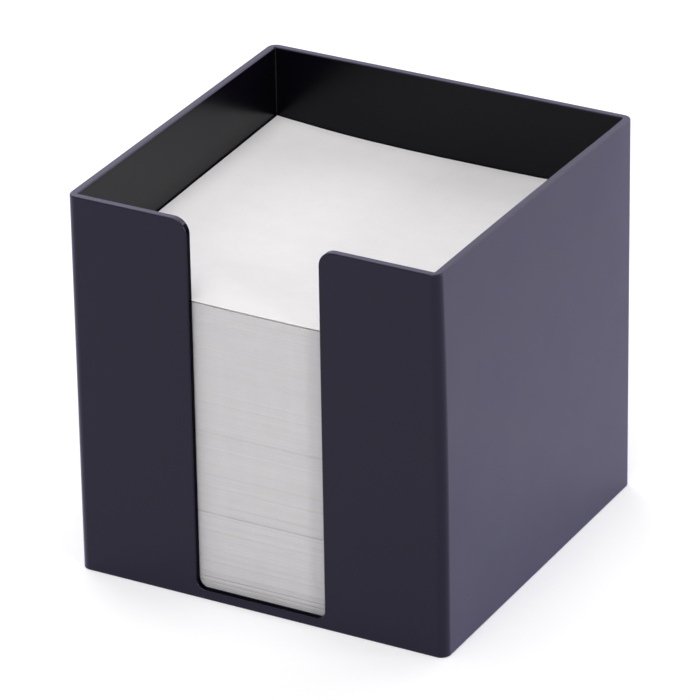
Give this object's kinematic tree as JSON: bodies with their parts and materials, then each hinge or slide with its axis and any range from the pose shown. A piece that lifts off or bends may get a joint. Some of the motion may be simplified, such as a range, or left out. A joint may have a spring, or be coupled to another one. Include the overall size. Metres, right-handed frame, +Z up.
{
  "type": "memo box",
  "caption": "Open-topped cube holder for loose square note sheets, with a tall thumb slot in its front wall and a stack of sheets that lift out one by one.",
  "frame": {"origin": "middle of the box's underside, on the plane it stands on", "axes": "+Z up; -Y is the front, where the thumb slot is; +X is the right-hand side seen from the front"},
  "size_m": [0.1, 0.1, 0.1],
  "materials": {
    "box_plastic": "satin",
    "note_paper": "uncoated"
  },
  "bodies": {
    "box": {"box": "box_plastic"},
    "packet_01": {"packet_01": "note_paper"},
    "packet_02": {"packet_02": "note_paper"},
    "packet_03": {"packet_03": "note_paper"},
    "packet_04": {"packet_04": "note_paper"},
    "packet_05": {"packet_05": "note_paper"},
    "packet_06": {"packet_06": "note_paper"},
    "packet_07": {"packet_07": "note_paper"},
    "packet_08": {"packet_08": "note_paper"},
    "packet_09": {"packet_09": "note_paper"},
    "packet_10": {"packet_10": "note_paper"},
    "packet_11": {"packet_11": "note_paper"},
    "packet_12": {"packet_12": "note_paper"},
    "packet_13": {"packet_13": "note_paper"},
    "packet_14": {"packet_14": "note_paper"},
    "packet_15": {"packet_15": "note_paper"},
    "sheet_01": {"sheet_01": "note_paper"},
    "sheet_02": {"sheet_02": "note_paper"},
    "sheet_03": {"sheet_03": "note_paper"},
    "sheet_04": {"sheet_04": "note_paper"},
    "sheet_05": {"sheet_05": "note_paper"},
    "sheet_06": {"sheet_06": "note_paper"},
    "sheet_07": {"sheet_07": "note_paper"},
    "sheet_08": {"sheet_08": "note_paper"},
    "sheet_09": {"sheet_09": "note_paper"},
    "sheet_10": {"sheet_10": "note_paper"}
  },
  "joints": [
    {"name": "packet_01_lift", "type": "slide", "parent": "box", "child": "packet_01", "axis": [0, 0, 1], "range_m": [0, 0.1]},
    {"name": "packet_02_lift", "type": "slide", "parent": "packet_01", "child": "packet_02", "axis": [0, 0, 1], "range_m": [0, 0.095]},
    {"name": "packet_03_lift", "type": "slide", "parent": "packet_02", "child": "packet_03", "axis": [0, 0, 1], "range_m": [0, 0.09]},
    {"name": "packet_04_lift", "type": "slide", "parent": "packet_03", "child": "packet_04", "axis": [0, 0, 1], "range_m": [0, 0.085]},
    {"name": "packet_05_lift", "type": "slide", "parent": "packet_04", "child": "packet_05", "axis": [0, 0, 1], "range_m": [0, 0.08]},
    {"name": "packet_06_lift", "type": "slide", "parent": "packet_05", "child": "packet_06", "axis": [0, 0, 1], "range_m": [0, 0.075]},
    {"name": "packet_07_lift", "type": "slide", "parent": "packet_06", "child": "packet_07", "axis": [0, 0, 1], "range_m": [0, 0.07]},
    {"name": "packet_08_lift", "type": "slide", "parent": "packet_07", "child": "packet_08", "axis": [0, 0, 1], "range_m": [0, 0.065]},
    {"name": "packet_09_lift", "type": "slide", "parent": "packet_08", "child": "packet_09", "axis": [0, 0, 1], "range_m": [0, 0.06]},
    {"name": "packet_10_lift", "type": "slide", "parent": "packet_09", "child": "packet_10", "axis": [0, 0, 1], "range_m": [0, 0.055]},
    {"name": "packet_11_lift", "type": "slide", "parent": "packet_10", "child": "packet_11", "axis": [0, 0, 1], "range_m": [0, 0.05]},
    {"name": "packet_12_lift", "type": "slide", "parent": "packet_11", "child": "packet_12", "axis": [0, 0, 1], "range_m": [0, 0.045]},
    {"name": "packet_13_lift", "type": "slide", "parent": "packet_12", "child": "packet_13", "axis": [0, 0, 1], "range_m": [0, 0.04]},
    {"name": "packet_14_lift", "type": "slide", "parent": "packet_13", "child": "packet_14", "axis": [0, 0, 1], "range_m": [0, 0.035]},
    {"name": "packet_15_lift", "type": "slide", "parent": "packet_14", "child": "packet_15", "axis": [0, 0, 1], "range_m": [0, 0.03]},
    {"name": "sheet_01_lift", "type": "slide", "parent": "packet_15", "child": "sheet_01", "axis": [0, 0, 1], "range_m": [0, 0.025]},
    {"name": "sheet_02_lift", "type": "slide", "parent": "sheet_01", "child": "sheet_02", "axis": [0, 0, 1], "range_m": [0, 0.0249]},
    {"name": "sheet_03_lift", "type": "slide", "parent": "sheet_02", "child": "sheet_03", "axis": [0, 0, 1], "range_m": [0, 0.0248]},
    {"name": "sheet_04_lift", "type": "slide", "parent": "sheet_03", "child": "sheet_04", "axis": [0, 0, 1], "range_m": [0, 0.0247]},
    {"name": "sheet_05_lift", "type": "slide", "parent": "sheet_04", "child": "sheet_05", "axis": [0, 0, 1], "range_m": [0, 0.0246]},
    {"name": "sheet_06_lift", "type": "slide", "parent": "sheet_05", "child": "sheet_06", "axis": [0, 0, 1], "range_m": [0, 0.0245]},
    {"name": "sheet_07_lift", "type": "slide", "parent": "sheet_06", "child": "sheet_07", "axis": [0, 0, 1], "range_m": [0, 0.0244]},
    {"name": "sheet_08_lift", "type": "slide", "parent": "sheet_07", "child": "sheet_08", "axis": [0, 0, 1], "range_m": [0, 0.0243]},
    {"name": "sheet_09_lift", "type": "slide", "parent": "sheet_08", "child": "sheet_09", "axis": [0, 0, 1], "range_m": [0, 0.0242]},
    {"name": "sheet_10_lift", "type": "slide", "parent": "sheet_09", "child": "sheet_10", "axis": [0, 0, 1], "range_m": [0, 0.0241]}
  ]
}
